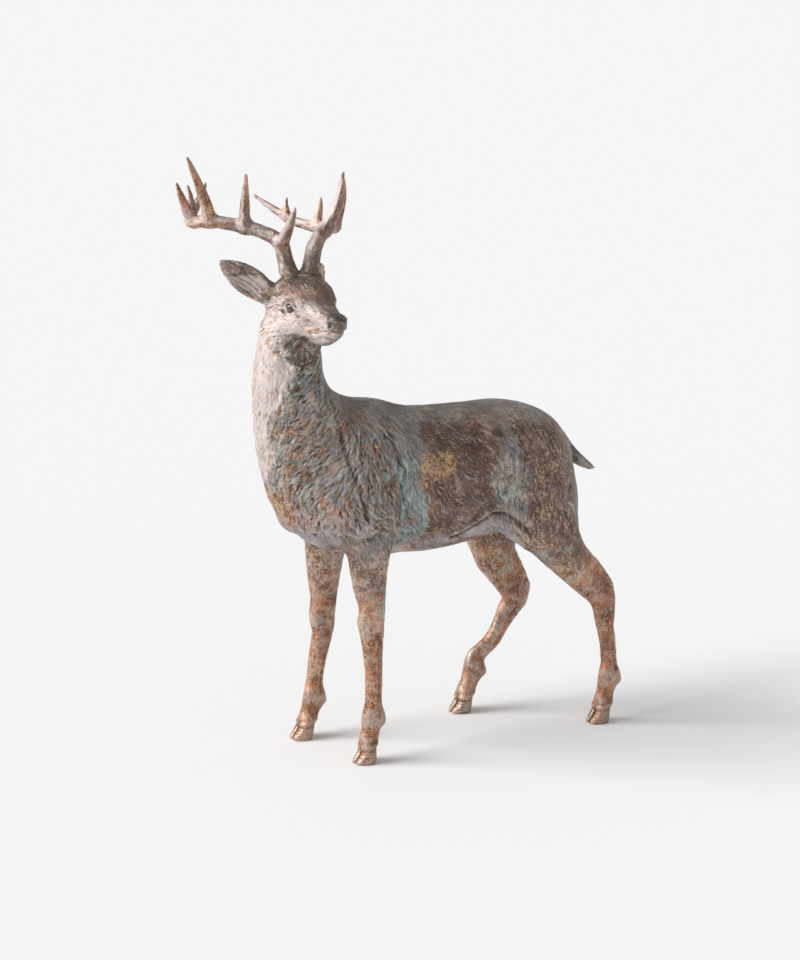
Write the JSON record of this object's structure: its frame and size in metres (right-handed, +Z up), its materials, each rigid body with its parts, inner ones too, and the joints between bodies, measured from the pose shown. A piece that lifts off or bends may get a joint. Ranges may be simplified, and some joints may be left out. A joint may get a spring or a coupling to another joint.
{
  "type": "deer sculpture",
  "caption": "Standing deer in patinated cast bronze, head turned to its left, with branching antlers, a coat of carved locks and cloven hooves.",
  "frame": {"origin": "middle of the bounding box, at the height of the hoof soles", "axes": "+Z up; the body faces -X; the deer's left side is -Y, and its head is turned to face -Y"},
  "size_m": [0.45, 0.2468, 0.6133],
  "materials": {
    "body": "cast bronze with a mottled brown, blue-green and grey patina, copper on the raised fur",
    "head": "cast bronze with a worn grey and brown patina, pale on the cheeks and dark on the brow and nose",
    "antlers": "cast bronze with a grey-brown patina and copper along the ridges"
  },
  "bodies": {
    "root": {"body": "body", "head": "head", "antlers": "antlers"}
  },
  "joints": []
}
